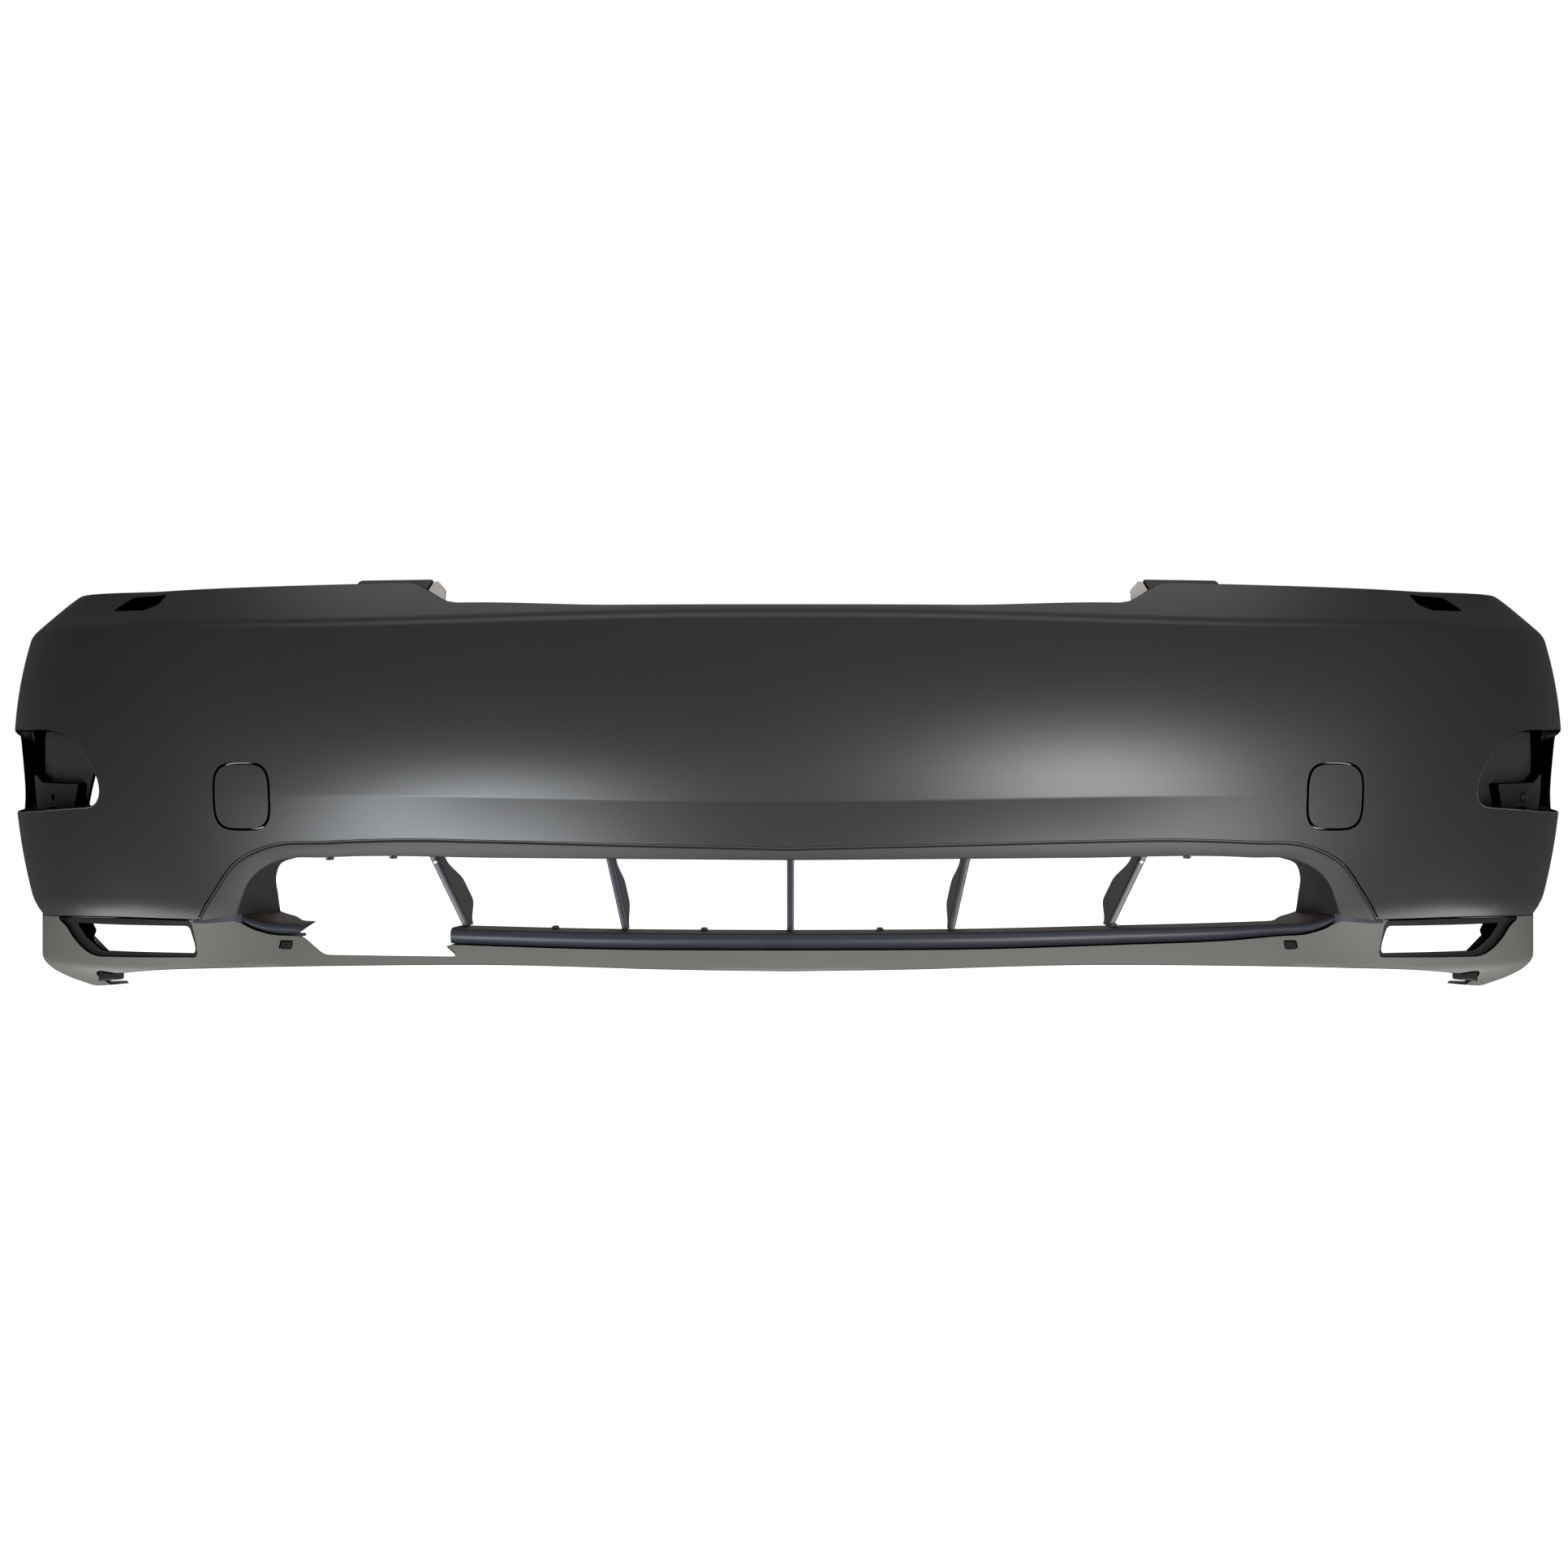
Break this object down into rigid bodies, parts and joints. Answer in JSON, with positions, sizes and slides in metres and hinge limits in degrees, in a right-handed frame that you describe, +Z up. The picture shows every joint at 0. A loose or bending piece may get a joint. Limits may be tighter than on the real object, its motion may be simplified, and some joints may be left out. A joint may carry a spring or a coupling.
{
  "type": "front bumper cover",
  "caption": "Front bumper cover with arched grille opening, upright ribs, lower valance with fog-lamp and sensor openings, side-marker pockets and clip-out towing-eye covers.",
  "frame": {"origin": "middle of the part's box, at its lowest level", "axes": "+X to the part's left-hand side as the driver sits reversed, that is to the right when the front is looked at; -Y forward; +Z up"},
  "size_m": [1.8564, 0.6258, 0.4491],
  "materials": {
    "primer": "dark satin primer on moulded plastic",
    "grey_moulding": "fine-grained grey moulding",
    "valance_grey": "grained grey moulding",
    "black_moulding": "black moulding",
    "rib_black": "satin black moulding",
    "bracket_dark": "dark moulding",
    "pale_plate": "unpainted pale moulding",
    "screw_steel": "zinc-plated",
    "clip_black": "black nylon"
  },
  "bodies": {
    "cover": {"bumper_cover": "primer", "grille_surround": "grey_moulding", "lower_valance": "valance_grey", "lower_rail_main": "black_moulding", "lower_rail_stub": "black_moulding", "grille_rib_1": "rib_black", "grille_rib_2": "rib_black", "grille_rib_3": "rib_black", "grille_rib_4": "rib_black", "grille_rib_5": "rib_black", "marker_bracket_left": "bracket_dark", "marker_bracket_right": "bracket_dark", "marker_foot_left": "black_moulding", "marker_foot_right": "black_moulding", "marker_push_pin": "clip_black", "upper_retainer_left": "black_moulding", "upper_retainer_right": "black_moulding", "upper_plate_left": "pale_plate", "upper_plate_right": "pale_plate", "fog_bezel_left": "black_moulding", "fog_bezel_right": "black_moulding", "lip_clip_left": "clip_black", "lip_clip_right": "clip_black", "corner_clip_left": "clip_black", "corner_clip_right": "clip_black", "washer_well_left": "black_moulding", "washer_well_right": "black_moulding", "arch_clip_1": "clip_black", "arch_clip_2": "clip_black", "arch_clip_3": "clip_black", "rail_clip_1": "clip_black", "rail_clip_2": "clip_black", "rail_clip_3": "clip_black", "rail_clip_4": "clip_black", "rib_screw_left": "screw_steel", "rib_screw_right": "screw_steel"},
    "tow_cover_left_body": {"tow_cover_left": "primer"},
    "tow_cover_right_body": {"tow_cover_right": "primer"}
  },
  "joints": [
    {"name": "tow_cover_left_slide", "type": "slide", "parent": "cover", "child": "tow_cover_left_body", "axis": [-0.1667, -0.9836, -0.0682], "range_m": [0, 0.04]},
    {"name": "tow_cover_right_slide", "type": "slide", "parent": "cover", "child": "tow_cover_right_body", "axis": [0.1667, -0.9836, -0.0682], "range_m": [0, 0.04]}
  ]
}
